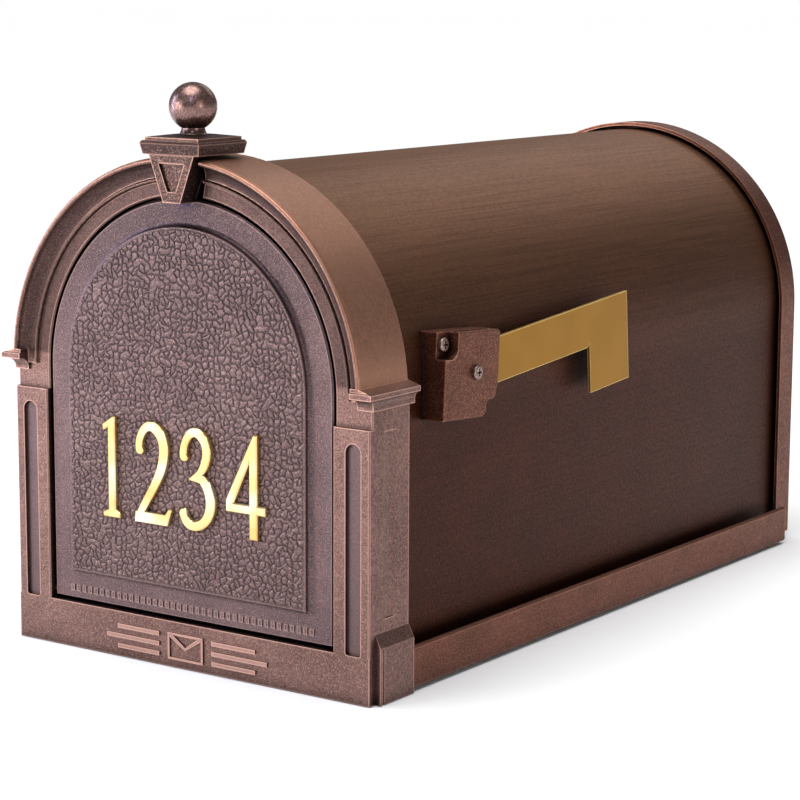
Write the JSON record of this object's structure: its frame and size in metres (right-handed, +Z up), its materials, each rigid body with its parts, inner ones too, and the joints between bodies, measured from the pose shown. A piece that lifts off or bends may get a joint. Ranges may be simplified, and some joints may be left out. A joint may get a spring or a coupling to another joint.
{
  "type": "post-mount curbside mailbox",
  "caption": "Arched curbside mailbox with a cast front, drop-down door with keystone pull and ball finial, sheet barrel, cast rear cap and carrier flag.",
  "frame": {"origin": "middle of the floor's four mounting holes, on the underside of the floor plate", "axes": "+X towards the flag side, +Y from the door towards the rear cap, +Z up"},
  "size_m": [0.2921, 0.5735, 0.3611],
  "materials": {
    "cast_copper": "antique copper powder coat over a casting, satin",
    "sheet_copper": "antique copper powder coat over sheet, satin",
    "sheet_dark": "thin coat over sheet, matte",
    "brass_satin": "satin brass",
    "brass_bright": "polished brass",
    "steel": "plated",
    "rubber_black": "matte",
    "magnet_dark": "matte ferrite",
    "plastic_black": "matte"
  },
  "bodies": {
    "box": {"front_frame": "cast_copper", "barrel_shell": "sheet_copper", "floor_pan": "sheet_dark", "base_rail_right": "sheet_copper", "base_rail_left": "sheet_copper", "rear_cap": "cast_copper", "frame_screws": "steel", "rear_cap_screws": "steel", "rail_screws": "steel", "hinge_pins": "steel", "magnet_holder": "plastic_black", "latch_magnet": "magnet_dark", "magnet_screws": "steel", "door_bumpers": "rubber_black", "flag_housing": "cast_copper", "flag_mount_screw": "steel", "flag_mount_nut": "steel", "flag_pivot_bolt": "steel", "flag_pivot_nut": "steel", "flag_washers": "steel"},
    "door": {"door_panel": "cast_copper", "keystone_pull": "cast_copper", "keystone_screws": "steel", "finial_ball": "cast_copper", "finial_stud": "steel", "number_1": "brass_bright", "number_2": "brass_bright", "number_3": "brass_bright", "number_4": "brass_bright", "number_nuts": "steel", "strike_plate": "steel", "strike_screws": "steel"},
    "flag": {"flag_arm": "brass_satin"}
  },
  "joints": [
    {"name": "door_hinge", "type": "hinge", "parent": "box", "child": "door", "pos_m": [0, -0.278, 0.0106], "axis": [1, 0, 0], "range_deg": [0, 90]},
    {"name": "flag_pivot", "type": "hinge", "parent": "box", "child": "flag", "pos_m": [0.1388, -0.1815, 0.163], "axis": [1, 0, 0], "range_deg": [0, 85]}
  ]
}
